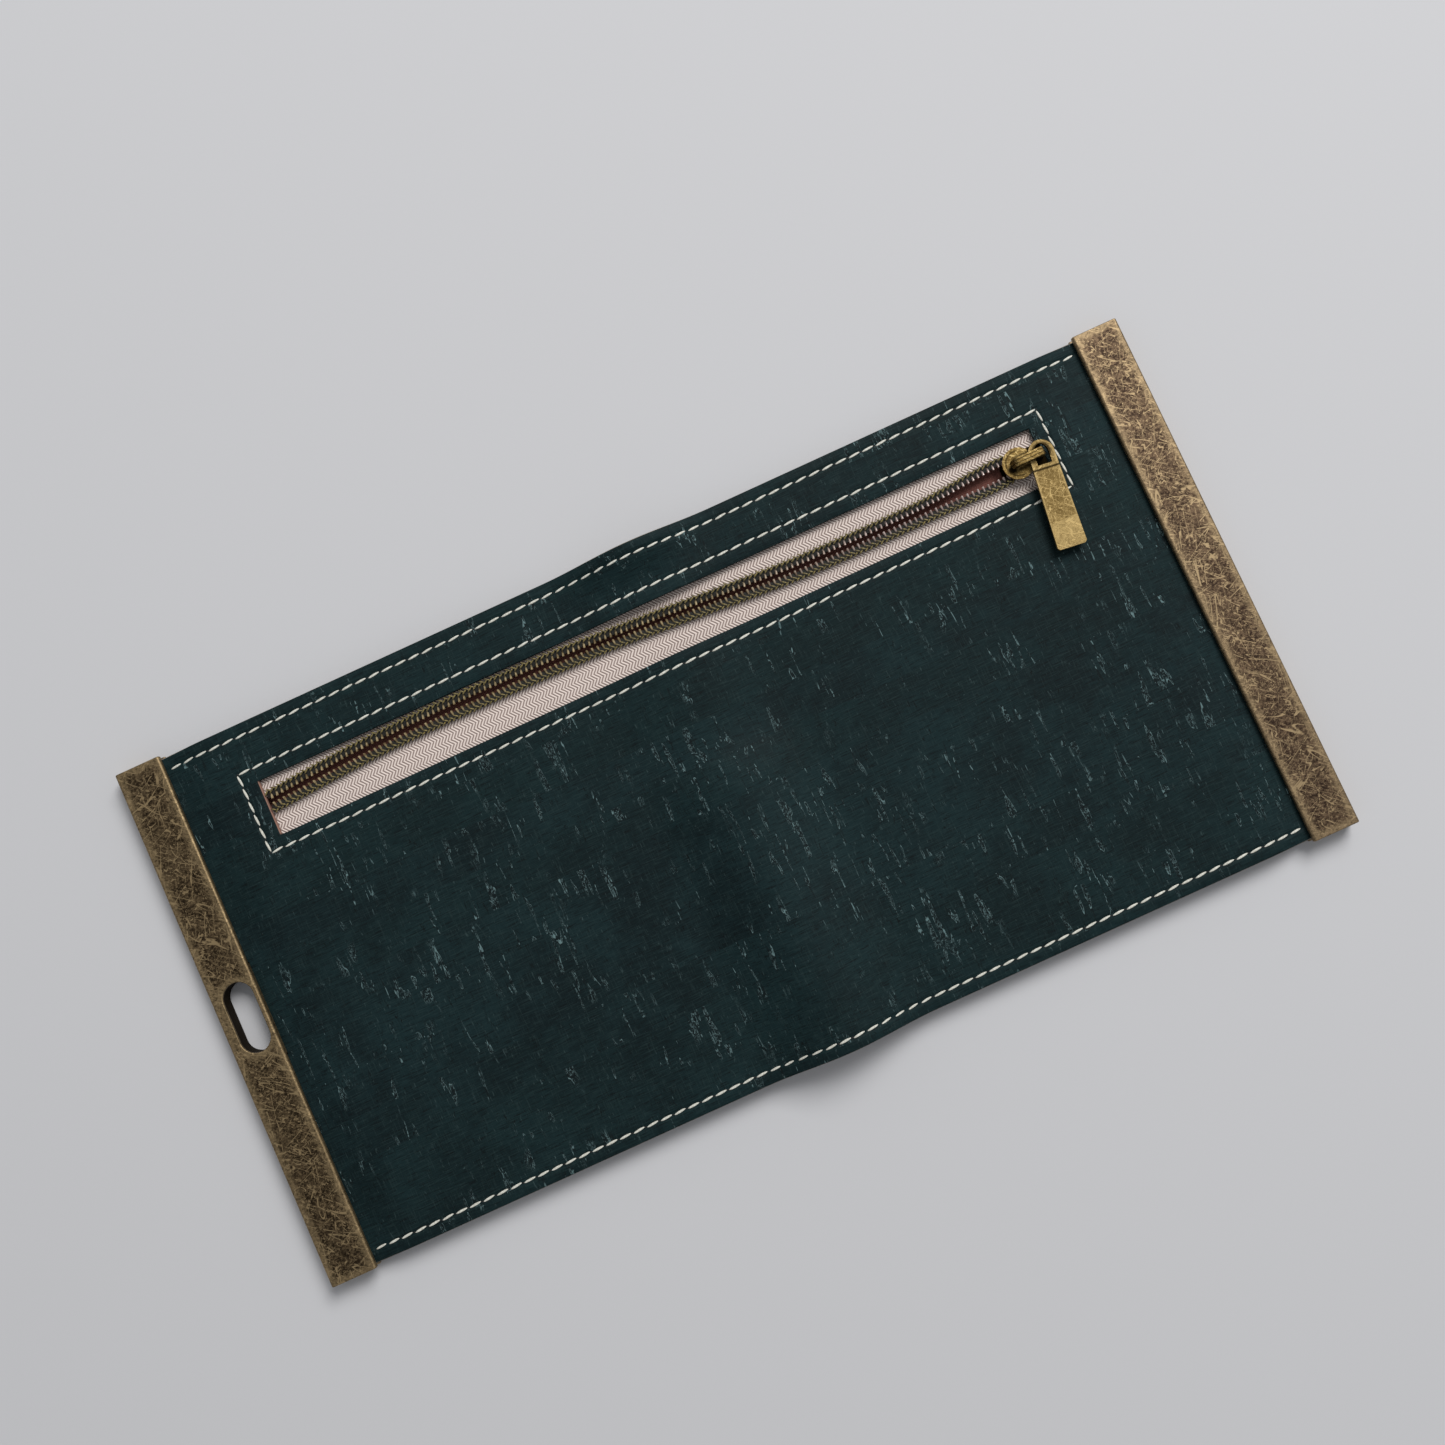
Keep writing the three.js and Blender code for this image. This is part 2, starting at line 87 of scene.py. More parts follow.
SEAM_WIDTH = 4.5
TAPE_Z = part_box("zipper_tape_upper")[0].z / MM
CORK_Z = TAPE_Z + TAPE + TAPE_GAP
COIL_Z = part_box("zipper_coil_upper")[0].z / MM
INNER_PANEL_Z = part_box("card_pocket_left")[0].z / MM + CARD_POCKET + SHEET_GAP
POCKET_LINING_Z = INNER_PANEL_Z + INNER_PANEL + SHEET_GAP
INNER_PANEL_GROOVE_Z = 1.3
CORK_GROOVE_Z = 1.8

# Distances between the grid lines of each sheet, and how far its edges are rounded
CORK_GRID, CLOTH_GRID, TAPE_GRID = (1.6, 1.6), (2.5, 2.2), 1.5
CORK_EDGE, CARD_POCKET_EDGE, CLOTH_EDGE, LINING_EDGE = 0.12, 0.08, 0.06, 0.05

# Cork veneer: width of a strip, and how far the pattern may shift from strip to strip
STRIP_WIDTH, STRIP_SHIFT = 7.9, 40.0

# Waves of the plain cloth's weave in a millimetre
CLOTH_THREADS = 2.2

# Ridge left by folding
FOLD_X, FOLD_HALF_WIDTH = 2, 17
FOLD_RISE = {"lower": 4.4, "middle": 3.2, "zip": 1.0, "upper": 3.6}
RELIEF_START, RELIEF_END = 12, 42

# Zip, with the curves of the two chain halves as X and Y
WINDOW_LEFT, WINDOW_RIGHT = -77.5, 78.5
WINDOW_BOTTOM, WINDOW_TOP = 28.0, 38.8
SLIDER_Y, SLIDER_NOSE_X = 33.6, 70.8
SLIDER_NOSE_RADIUS = 2.95
PIT_SQUASH, BRIDGE_LINE_PITCH = 1.25, 0.62
PULL_HINGE = (78.1, 33.6)
PULL_LEAN = 0.119
PULL_LENGTH, PULL_TIP = 15.2, 2.0
PULL_HALF_WIDTH, PULL_WIDENING = 2.33, 0.03
PULL_STEP = 3.1
TAPE_OVERLAP = 4.5
WEAVE_ROW, WEAVE_PITCH = 1.0, 0.66
TAPE_ROWS = (0, 0.2, 0.4, 0.6, 0.8, 1)
COIL_WIDTH, COIL_PITCH = 1.9, 1.05
CHAIN_MARGIN, FIRST_TOOTH, SLOPE_REACH = 0.6, 0.5, 0.3
TOOTH_LENGTH, TOOTH_RADIUS, TOOTH_RISE = 1.05, 0.27, 0.62
TOOTH_SLANT, TOOTH_ROUNDING = 0.12, 0.16
TOOTH_HEAD_WIDTH, TOOTH_HEAD_HEIGHT = 0.95, 1.7
TOOTH_TAIL_WIDTH, TOOTH_TAIL_DROP = 0.7, 0.3
COIL_THREAD = (1.1, 0.3, 0.34)  # length, width and height of a stitch
COIL_THREAD_FACES = (7, 6)  # around it and along it
COIL_THREAD_ROWS = (0.36, 0.76)  # from the chain's middle
COIL_THREAD_RISE, COIL_THREAD_DROP = 1.12, 0.22
COIL_THREAD_SLANT = 0.6
COIL_CORD, COIL_CORD_EDGE, COIL_CORD_END, COIL_CORD_LIFT = 0.5, 0.15, 0.2, 0.02
COIL_CORD_INNER, COIL_CORD_OUTER = 0.62, 0.8
CLOSED_HALF, CHAIN_END = 1.1, 80.5
CLOSING = [(SLIDER_NOSE_X + 0.2, 1.9), (SLIDER_NOSE_X + 3.2, CLOSED_HALF), (CHAIN_END, CLOSED_HALF)]
LOWER_MOUTH = [(-79.5, 33.0), (-50, 34.7), (-12, 34.6), (5, 33.6), (30, 31.9), (61, 31.7)]
UPPER_MOUTH = [(-79.5, 35.5), (-56, 37.2), (-22, 37.4), (0, 36.3), (14, 35.3), (30, 34.4), (54, 34.3)]

# Sewing
STITCH_PITCH = 2.7
STITCH = (2.3, 0.46, 0.36)  # length, width and height
STITCH_FACES, NEEDLE_HOLE_FACES = (8, 8), (7, 4)  # around it and along it
STITCH_SINK, HOLE_SINK = 0.01, 0.03
NEEDLE_HOLE = (0.6, 0.5, 0.1)  # length, width and height
STITCH_SLANT = math.radians(6)
STITCH_UNEVENNESS, STITCH_SEED = 0.03, 5
EDGE_ROW_INSET, EDGE_ROW_END = 2.3, 0.6
SEAM_BOX = {"left": -80.6, "right": 81.2, "bottom": 25.7, "top": 41.4}

# Degrees from which an edge is rounded or stays sharp, and how far the metal pieces are rounded
SHEET_CORNER, METAL_CORNER, SMOOTH_ANGLE = 50, 35, 40
MERGE_DISTANCE, FLAT_ANGLE = 0.01, 2
BAR_ROUNDING, SLIDER_ROUNDING, BRIDGE_ROUNDING, PULL_ROUNDING = 0.2, 0.14, 0.18, 0.2

# Light and room
LAMP_PLACE, LAMP_SIZE, LAMP_POWER = (0.78, 0.82, 1.2), 0.8, 25
LAMP_TINT = (1.0, 0.995, 0.98)
ROOM_TINT, ROOM_STRENGTH = (0.96, 0.98, 1.0, 1), 0.34
FLOOR_SIZE, FLOOR_DROP = 6, 0.0002

# Camera, in metres and degrees, and its picture in pixels
CAMERA_PLACE = (0.00712, -0.00448, 0.26834)
CAMERA_TURN = (3.238, 2.001, -24.468)
SENSOR, FOCAL_PIXELS, PICTURE_PIXELS = 36, 1450, 1445


# Shapes of the sheets

def mix(a, b, t):
    return a + (b - a) * t


def ease(value, low, high):
    t = min(max((value - low) / (high - low), 0), 1)
    return t * t * (3 - 2 * t)


def ridge_height(y, at_zip):
    if y < 0:
        return mix(FOLD_RISE["middle"], FOLD_RISE["lower"], ease(-y, 0, PANEL_HALF))
    if y < RELIEF_END:
        return mix(FOLD_RISE["middle"], at_zip, ease(y, 0, RELIEF_START))
    return mix(at_zip, FOLD_RISE["upper"], ease(y, RELIEF_END, PANEL_HALF))


def ridge(x, y, at_zip):
    across = min(abs(x - FOLD_X) / FOLD_HALF_WIDTH, 1)
    return ridge_height(y, at_zip) * (1 + math.cos(math.pi * across)) / 2


def near_bar(x):
    return ease(abs(x), EASE_START, BAR_FACE)


def near_seam(y):
    return ease(abs(y), PANEL_HALF - SEAM_WIDTH, PANEL_HALF - SEAM_WIDTH / 2)


def cork_underside(x, y):
    return mix(CORK_Z + ridge(x, y, FOLD_RISE["zip"]), CORK_GROOVE_Z, near_bar(x))


def cork_top(x, y):
    return cork_underside(x, y) + CORK


def lining_underside(x, y):
    sewn = CORK_Z + ridge(x, y, FOLD_RISE["zip"]) - SHEET_GAP - POCKET_LINING
    return mix(POCKET_LINING_Z + ridge(x, y, 0), sewn, near_seam(y))


def inner_underside(x, y):
    sewn = lining_underside(x, y) - SHEET_GAP - INNER_PANEL
    free = mix(INNER_PANEL_Z + ridge(x, y, 0), sewn, near_seam(y))
    return mix(free, INNER_PANEL_GROOVE_Z, near_bar(x))


def card_underside(x, y):
    return inner_underside(x, y) - SHEET_GAP - CARD_POCKET


def path_height(points, x):
    """Smooth curve through points whose X rises."""
    slopes = []
    for i in range(len(points)):
        before, after = points[max(i - 1, 0)], points[min(i + 1, len(points) - 1)]
        slopes.append((after[1] - before[1]) / (after[0] - before[0]))
    for i in range(len(points) - 1):
        (x0, y0), (x1, y1) = points[i], points[i + 1]
        if x <= x1 or i == len(points) - 2:
            width = x1 - x0
            t = min(max((x - x0) / width, 0), 1)
            rise = (2 * t**3 - 3 * t**2 + 1) * y0 + (3 * t**2 - 2 * t**3) * y1
            lean = (t**3 - 2 * t**2 + t) * slopes[i] + (t**3 - t**2) * slopes[i + 1]
            return rise + width * lean


def chain(mouth, side):
    """The half's curve, led into the slider and on to the end of the tape."""
    return mouth + [(x, SLIDER_Y + side * half) for x, half in CLOSING]


CHAINS = {"upper": (chain(UPPER_MOUTH, 1), 1), "lower": (chain(LOWER_MOUTH, -1), -1)}


# Material tools

class Nodes:
    """Adds shader nodes to one tree with few words."""

    def __init__(self, tree):
        self.tree = tree

    def add(self, kind, **settings):
        node = self.tree.nodes.new("ShaderNode" + kind)
        for key, value in settings.items():
            setattr(node, key, value)
        return node

    def link(self, source, target):
        self.tree.links.new(source, target)

    def feed(self, target, value):
        if isinstance(value, bpy.types.NodeSocket):
            self.link(value, target)
        else:
            target.default_value = value

    def math(self, operation, *values):
        node = self.add("Math", operation=operation)
        for socket, value in zip(node.inputs, values):
            self.feed(socket, value)
        return node.outputs[0]

    def step(self, value, low, high, out_low=0.0, out_high=1.0):
        node = self.add("MapRange", interpolation_type="SMOOTHSTEP")
        given = {"Value": value, "From Min": low, "From Max": high, "To Min": out_low, "To Max": out_high}
        for name, v in given.items():
            self.feed(node.inputs[name], v)
        return node.outputs[0]

    def mix(self, share, first, second):
        node = self.add("Mix", data_type="RGBA")
        self.feed(node.inputs[0], share)
        self.feed(node.inputs[6], first)
        self.feed(node.inputs[7], second)
        return node.outputs[2]

    def stretch(self, vector, scale):
        node = self.add("Mapping")
        self.feed(node.inputs["Vector"], vector)
        node.inputs["Scale"].default_value = scale
        return node.outputs[0]

    def noise(self, vector, scale, detail=2.0, rough=0.5, distortion=0.0):
        node = self.add("TexNoise")
        self.feed(node.inputs["Vector"], vector)
        given = {"Scale": scale, "Detail": detail, "Roughness": rough, "Distortion": distortion}
        for name, v in given.items():
            node.inputs[name].default_value = v
        return node.outputs["Fac"]

    def band(self, value, middle, outer, inner, share=1.0):
        """1 where value is near middle, fading out between the inner and the outer distance."""
        distance = self.math("ABSOLUTE", self.math("SUBTRACT", value, middle))
        return self.step(distance, outer, inner, 0.0, share)

    def split(self, vector):
        node = self.add("SeparateXYZ")
        self.feed(node.inputs[0], vector)
        return node.outputs


def srgb(red, green, blue):
    """Colour from 8-bit values as a photograph shows them."""
    def linear(c):
        c /= 255
        return c / 12.92 if c <= 0.04045 else ((c + 0.055) / 1.055) ** 2.4
    return (linear(red), linear(green), linear(blue), 1.0)


def millimetres(n):
    """Object coordinates in millimetres."""
    place = n.add("TexCoord").outputs["Object"]
    return n.stretch(place, (1 / MM, 1 / MM, 1 / MM))


def material(name):
    made = bpy.data.materials.new(name)
    made.use_nodes = True
    n = Nodes(made.node_tree)
    return made, n, made.node_tree.nodes["Principled BSDF"]


def bump(n, shader, height, strength, distance):
    node = n.add("Bump")
    node.inputs["Strength"].default_value = strength
    node.inputs["Distance"].default_value = distance * MM
    n.link(height, node.inputs["Height"])
    n.link(node.outputs[0], shader.inputs["Normal"])


def group(name, inputs, outputs):
    """Empty node group with float, colour or vector sockets."""
    tree = bpy.data.node_groups.new(name, "ShaderNodeTree")
    for way, sockets in (("INPUT", inputs), ("OUTPUT", outputs)):
        for socket, kind in sockets:
            tree.interface.new_socket(name=socket, in_out=way, socket_type="NodeSocket" + kind)
    n = Nodes(tree)
    return tree, n, tree.nodes.new("NodeGroupInput").outputs, tree.nodes.new("NodeGroupOutput").inputs


def use(n, tree, **values):
    node = n.add("Group", node_tree=tree)
    for name, value in values.items():
        n.feed(node.inputs[name.replace("_", " ")], value)
    return node.outputs


def scratches_group():
    """Fine curved hairlines: level lines of stretched noise, broken up so that none runs on for long."""
    tree, n, given, out = group("scratches", [("Place", "Vector"), ("Size", "Float")], [("Mask", "Float")])
    sized = n.add("VectorMath", operation="SCALE")
    n.link(given["Place"], sized.inputs[0])
    n.link(given["Size"], sized.inputs["Scale"])
    patches = n.noise(sized.outputs[0], 0.8, 3.0, 0.6)
    total = 0.0
    for turn, shift, share in ((0.5, 0.0, 0.43), (-0.6, 31.0, 0.5), (1.3, 67.0, 0.57), (2.4, 93.0, 0.47)):
        place = n.add("Mapping", vector_type="TEXTURE")
        n.link(sized.outputs[0], place.inputs["Vector"])
        place.inputs["Location"].default_value = (shift, shift, 0)
        place.inputs["Rotation"].default_value = (0, 0, turn)
        place.inputs["Scale"].default_value = (6.0, 1.0, 1.0)
        field = n.noise(place.outputs[0], 0.9, 1.0, 0.5, 0.35)
        line = n.band(field, 0.5, 0.011, 0.003)
        broken = n.band(patches, share, 0.09, 0.05)
        total = n.math("MAXIMUM", total, n.math("MULTIPLY", line, broken))
    n.link(total, out["Mask"])
    return tree


def weave_group():
    """Plain cloth weave in the sheet's own plane."""
    tree, n, given, out = group("weave", [("Place", "Vector"), ("Threads", "Float")], [("Height", "Float")])
    x, y, _ = n.split(given["Place"])
    waves = []
    for axis in (x, y):
        phase = n.math("MULTIPLY", n.math("MULTIPLY", axis, given["Threads"]), 2 * math.pi)
        waves.append(n.math("SINE", phase))
    crossed = n.math("MULTIPLY", waves[0], waves[1])
    n.link(n.math("MULTIPLY_ADD", crossed, 0.5, 0.5), out["Height"])
    return tree


SCRATCHES = scratches_group()
WEAVE = weave_group()


# Finishes

CORK_TONES = {
    "dark": srgb(9, 25, 28),
    "light": srgb(18, 38, 41),
    "strip": srgb(12, 33, 34),
    "pale grain": srgb(38, 54, 54),
    "dark grain": srgb(6, 13, 15),
    "fibre": srgb(44, 60, 60),
    "crack": srgb(4, 8, 9),
    "hollow": srgb(10, 17, 19),
    "streak": srgb(70, 88, 88),
    "fleck": srgb(97, 122, 124),
    "cut": srgb(146, 112, 98),
}


def cork_strips(n, place):
    """Place shifted by a different length along X in each strip, and the strip's own tone."""
    x, y, z = n.split(place)
    wobble = n.math("MULTIPLY", n.noise(place, 0.05), 1.6)
    row = n.math("DIVIDE", n.math("ADD", y, wobble), STRIP_WIDTH)
    tone = n.add("TexWhiteNoise", noise_dimensions="1D")
    n.link(n.math("FLOOR", row), tone.inputs["W"])
    shifted = n.add("CombineXYZ")
    n.link(n.math("MULTIPLY_ADD", tone.outputs["Value"], STRIP_SHIFT, x), shifted.inputs[0])
    n.link(y, shifted.inputs[1])
    n.link(z, shifted.inputs[2])
    return shifted.outputs[0], tone.outputs["Value"]


def cork_flecks(n, place):
    """Masks of the dark hollow, the fine streaks and the pale lace of the flecks along Y."""
    gather = n.step(n.noise(place, 0.11, 2.0), 0.45, 0.58)
    body = n.noise(n.stretch(place, (1.0, 0.13, 1)), 0.9, 2.0, 0.5, 0.6)
    threads = n.noise(n.stretch(place, (1.0, 0.45, 1)), 3.0, 3.0, 0.65)
    lace = n.band(threads, 0.5, 0.034, 0.012, 0.9)
    patch = n.math("MULTIPLY", n.step(body, 0.61, 0.64), gather)
    rim = n.math("MULTIPLY", n.band(body, 0.615, 0.012, 0.003), gather)
    crumbs = n.step(n.noise(place, 1.3, 2.0, 0.6), 0.38, 0.52)
    pale = n.math("MULTIPLY", n.math("MAXIMUM", n.math("MULTIPLY", patch, lace), rim), crumbs)
    hollow = n.math("MULTIPLY", n.step(body, 0.575, 0.6), gather)
    streaks = n.noise(n.stretch(place, (1.0, 0.2, 1)), 2.6, 2.0, 0.6)
    fine = n.math("MULTIPLY", n.step(streaks, 0.66, 0.71), crumbs)
    return hollow, fine, pale


def cork_cracks(n, place):
    """Thin dark cracks along Y, in loose groups."""
    lines = n.noise(n.stretch(place, (1.0, 0.16, 1)), 1.5, 2.0, 0.6, 0.4)
    groups = n.step(n.noise(place, 0.3, 3.0, 0.6), 0.5, 0.58)
    return n.math("MULTIPLY", n.band(lines, 0.4, 0.016, 0.005), groups)


def window_cut(n, x, y):
    """1 on the cut edge of the cork at the window's left end."""
    half = (WINDOW_TOP - WINDOW_BOTTOM) / 2
    from_middle = n.math("ABSOLUTE", n.math("SUBTRACT", y, (WINDOW_TOP + WINDOW_BOTTOM) / 2))
    between_corners = n.step(from_middle, half + 0.1, half - 0.4)
    return n.math("MULTIPLY", n.band(x, WINDOW_LEFT, 0.22, 0.12), between_corners)


def cork_finish():
    """Dyed cork veneer: rows of strips with short flecks along Y and a fine grain along X."""
    made, n, shader = material("dyed_cork")
    tones = CORK_TONES
    place = millimetres(n)
    x, y, _ = n.split(place)
    strip_place, tone = cork_strips(n, place)

    broad = n.noise(strip_place, 0.07, 4.0, 0.65)
    base = n.mix(n.step(broad, 0.35, 0.65), tones["dark"], tones["light"])
    base = n.mix(n.math("MULTIPLY", tone, 0.4), base, tones["strip"])
    grain = n.noise(n.stretch(strip_place, (0.35, 5.0, 1)), 1.0, 4.0, 0.7)
    base = n.mix(n.step(grain, 0.5, 0.7, 0.0, 0.5), base, tones["pale grain"])
    base = n.mix(n.step(grain, 0.48, 0.34, 0.0, 0.85), base, tones["dark grain"])
    fibre = n.noise(n.stretch(strip_place, (5.0, 0.3, 1)), 1.0, 3.0, 0.65)
    base = n.mix(n.step(fibre, 0.52, 0.7, 0.0, 0.3), base, tones["fibre"])

    cracks = cork_cracks(n, strip_place)
    base = n.mix(n.math("MULTIPLY", cracks, 0.8), base, tones["crack"])
    hollow, fine, pale = cork_flecks(n, strip_place)
    base = n.mix(n.math("MULTIPLY", hollow, 0.7), base, tones["hollow"])
    base = n.mix(n.math("MULTIPLY", fine, 0.3), base, tones["streak"])
    base = n.mix(pale, base, tones["fleck"])
    base = n.mix(window_cut(n, x, y), base, tones["cut"])
    n.link(base, shader.inputs["Base Color"])
    n.link(n.step(broad, 0.2, 0.8, 0.6, 0.72), shader.inputs["Roughness"])
    shader.inputs["Specular IOR Level"].default_value = 0.12

    height = n.math("SUBTRACT", n.math("MULTIPLY", grain, 0.5), n.math("MULTIPLY", pale, 0.5))
    height = n.math("SUBTRACT", height, sewn_furrow(n, x, y))
    bump(n, shader, height, 0.5, 0.12)
    return made


def sewn_furrow(n, x, y):
    """Depth of the shallow furrow that the stitches pull into the cork."""
    outer, inner = 0.75, 0.1
    edge = n.band(n.math("ABSOLUTE", y), PANEL_HALF - EDGE_ROW_INSET, outer, inner)
    beyond = []
    for axis, first, last in ((x, "left", "right"), (y, "bottom", "top")):
        half = (SEAM_BOX[last] - SEAM_BOX[first]) / 2
        from_middle = n.math("ABSOLUTE", n.math("SUBTRACT", axis, SEAM_BOX[first] + half))
        beyond.append(n.math("SUBTRACT", from_middle, half))
    box = n.band(n.math("MAXIMUM", *beyond), 0.0, outer, inner)
    return n.math("MULTIPLY", n.math("MAXIMUM", edge, box), 2.2)


# Dark brown of the painted shade laid on the brass in its recesses, grooves and undersides
PAINTED_SHADE_TONE = srgb(34, 26, 14)


def brass_finish(name, tones, grain, wear_mask, shade_mask, reflection_tones=None):
    """Aged brass: mottled patina, fine golden scratches, paler worn edges, and painted shade in the
    recesses that shade_mask marks.
    """
    made, n, shader = material(name)
    place = millimetres(n)
    cloud = n.noise(place, 0.16, 3.0, 0.6)
    speck = n.noise(place, grain, 6.0, 0.75)
    dark, light, gold = tones
    # The right bar gets paler tones than the left bar, as a painted reflection of the brighter room on that
    # side
    if reflection_tones:
        across = n.step(n.split(place)[0], -BAR_FACE / 2, BAR_FACE / 2)
        dark, light, gold = (n.mix(across, first, second) for first, second in zip(tones, reflection_tones))
    blotch = n.noise(place, 0.5, 4.0, 0.7)
    patina = n.math("ADD", n.math("MULTIPLY", speck, 0.6), n.math("MULTIPLY", blotch, 0.4))
    base = n.mix(n.step(patina, 0.42, 0.6), dark, light)
    base = n.mix(n.step(cloud, 0.45, 0.75, 0.0, 0.4), base, light)
    base = n.mix(n.step(speck, 0.56, 0.68, 0.0, 0.7), base, gold)
    long_marks = use(n, SCRATCHES, Place=place, Size=0.45)["Mask"]
    short_marks = n.math("MULTIPLY", use(n, SCRATCHES, Place=place, Size=1.0)["Mask"], 0.9)
    marks = n.math("MAXIMUM", long_marks, short_marks)
    base = n.mix(n.math("MULTIPLY", marks, 0.9), base, gold)
    rough = n.step(cloud, 0.3, 0.7, 0.58, 0.5)
    if wear_mask:
        worn = n.math("MULTIPLY", wear_mask(n, place), n.step(speck, 0.3, 0.5))
        base = n.mix(n.math("MULTIPLY", worn, 0.5), base, gold)
    # Painted shade: darkens the recesses, grooves and undersides that shade_mask marks
    painted_shade = shade_mask(n, place)
    base = n.mix(painted_shade, base, PAINTED_SHADE_TONE)
    rough = n.math("MAXIMUM", rough, n.math("MULTIPLY", painted_shade, 0.8))
    n.link(base, shader.inputs["Base Color"])
    n.link(rough, shader.inputs["Roughness"])
    shader.inputs["Metallic"].default_value = 1.0
    height = n.math("SUBTRACT", n.math("MULTIPLY", speck, 0.6), marks)
    bump(n, shader, height, 0.2, 0.04)
    return made


def distance_from(n, x, y, centre):
    """Distance in the wallet's plane from a point."""
    between = n.add("VectorMath", operation="DISTANCE")
    flat = n.add("CombineXYZ")
    n.link(x, flat.inputs[0])
    n.link(y, flat.inputs[1])
    n.link(flat.outputs[0], between.inputs[0])
    between.inputs[1].default_value = (*centre, 0)
    return between.outputs["Value"]


def slider_painted_shade(n, place):
    """Painted shade: the dark pit in front of the bridge, along the bridge's feet, over the tail, under the
    plate and in the groove around the nose.
    """
    x, y, z = n.split(place)
    pit_centre = (SLIDER_NOSE_X + 1.5, (SLIDER_Y - 0.7) * PIT_SQUASH)
    pit = n.step(distance_from(n, x, n.math("MULTIPLY", y, PIT_SQUASH), pit_centre), 1.35, 0.5)
    beside = n.band(n.math("ABSOLUTE", n.math("SUBTRACT", y, SLIDER_Y)), 1.15, 0.5, 0.1)
    bridge_foot_shade = n.math("MULTIPLY", beside, n.step(x, SLIDER_NOSE_X + 1.5, SLIDER_NOSE_X + 3))
    tail = n.step(x, SLIDER_NOSE_X + 5.1, SLIDER_NOSE_X + 5.5)
    from_nose = distance_from(n, x, y, (SLIDER_NOSE_X + SLIDER_NOSE_RADIUS, SLIDER_Y))
    at_nose = n.step(x, SLIDER_NOSE_X + 4, SLIDER_NOSE_X + 3, 0.0, 0.7)
    ring = n.math("MULTIPLY", n.band(from_nose, 2.3, 0.22, 0.06), at_nose)
    under = n.step(z, COIL_Z + 1.5, COIL_Z + 1.35)
    marks = n.math("MULTIPLY", bridge_foot_shade, 0.7)
    for mask in (pit, tail, ring, under):
        marks = n.math("MAXIMUM", marks, mask)
    return marks


def bridge_groove_shade(n, place):
    """Painted shade of lengthwise grooves: dark lines on the bridge."""
    _, y, _ = n.split(place)
    wavy = n.math("ADD", y, n.math("MULTIPLY", n.noise(place, 0.6), 0.5))
    wave = n.math("SINE", n.math("MULTIPLY", wavy, 2 * math.pi / BRIDGE_LINE_PITCH))
    return n.step(wave, 0.35, 0.95, 0.0, 0.75)


def pull_edges(n, place):
    """1 along the two long edges of the pull, which leans and widens towards its tip."""
    x, y, _ = n.split(place)
    down = n.math("SUBTRACT", PULL_HINGE[1], y)
    across = n.math("SUBTRACT", x, PULL_HINGE[0])
    sideways = n.math("ABSOLUTE", n.math("MULTIPLY_ADD", down, PULL_LEAN, across))
    half_width = n.math("MULTIPLY_ADD", down, PULL_WIDENING, PULL_HALF_WIDTH)
    tip = n.math("SUBTRACT", PULL_LENGTH - PULL_TIP, down)
    return n.step(n.math("MINIMUM", n.math("SUBTRACT", half_width, sideways), tip), 0.5, 0.15)


def pull_painted_shade(n, place):
    """Painted shade around the eye and along the step below it."""
    x, y, _ = n.split(place)
    across = n.math("SUBTRACT", x, PULL_HINGE[0])
    down = n.math("SUBTRACT", PULL_HINGE[1], y)
    leaning = n.math("MULTIPLY_ADD", across, -PULL_LEAN, down)
    line = n.band(leaning, PULL_STEP, 0.32, 0.08)
    eye = n.step(distance_from(n, x, y, PULL_HINGE), 1.95, 1.6)
    return n.math("MAXIMUM", n.math("MULTIPLY", line, 0.85), n.math("MULTIPLY", eye, 0.8))


def slot_rim(n, x, y):
    """Distance from the strap slot's rim, in millimetres."""
    past = n.math("MAXIMUM", n.math("SUBTRACT", n.math("ABSOLUTE", y), SLOT_STRAIGHT), 0.0)
    return n.math("SUBTRACT", distance_from(n, x, past, (SLOT_X, 0)), SLOT_RADIUS)


def bar_edges(n, place):
    """1 at the long edges, the ends and the slot's rim of a bar, 0 a little way in."""
    x, y, _ = n.split(place)
    across = n.math("ABSOLUTE", x)
    inner = n.math("SUBTRACT", across, BAR_FACE)
    outer = n.math("SUBTRACT", OPEN_HALF, across)
    end = n.math("SUBTRACT", BAR_HALF, n.math("ABSOLUTE", y))
    nearest = slot_rim(n, x, y)
    for distance in (inner, outer, end):
        nearest = n.math("MINIMUM", nearest, distance)
    ragged = n.math("MULTIPLY", n.math("SUBTRACT", n.noise(place, 0.9, 3.0, 0.6), 0.5), 2.5)
    return n.step(n.math("ADD", nearest, ragged), 1.9, 0.5)


def slot_wall_shade(n, place):
    """1 on the strap slot's wall, below its worn rim, where shade is painted."""
    x, y, z = n.split(place)
    at_wall = n.step(slot_rim(n, x, y), 0.25, 0.05)
    return n.math("MULTIPLY", at_wall, n.step(z, BAR_TOP - 0.2, BAR_TOP - 0.7))


def tape_finish():
    """Herringbone zip tape: slanting ribs that turn back in rows along the tape."""
    made, n, shader = material("zip_tape")
    place = millimetres(n)
    x, y, _ = n.split(place)
    turned = n.math("PINGPONG", y, WEAVE_ROW)
    loose = n.math("MULTIPLY", n.noise(place, 0.8, 2.0), 0.25)
    phase = n.math("ADD", n.math("ADD", x, n.math("MULTIPLY", turned, 0.85)), loose)
    wave = n.math("SINE", n.math("MULTIPLY", phase, 2 * math.pi / WEAVE_PITCH))
    rib = n.math("MULTIPLY_ADD", wave, 0.5, 0.5)
    fibre = n.noise(place, 6.0, 2.0, 0.6)
    base = n.mix(n.step(rib, 0.05, 0.75), srgb(126, 104, 97), srgb(236, 221, 212))
    base = n.mix(n.math("MULTIPLY", fibre, 0.25), base, srgb(224, 208, 201))
    n.link(base, shader.inputs["Base Color"])
    shader.inputs["Roughness"].default_value = 0.85
    shader.inputs["Sheen Weight"].default_value = 0.15
    bump(n, shader, n.math("ADD", rib, n.math("MULTIPLY", fibre, 0.3)), 0.8, 0.12)
    return made


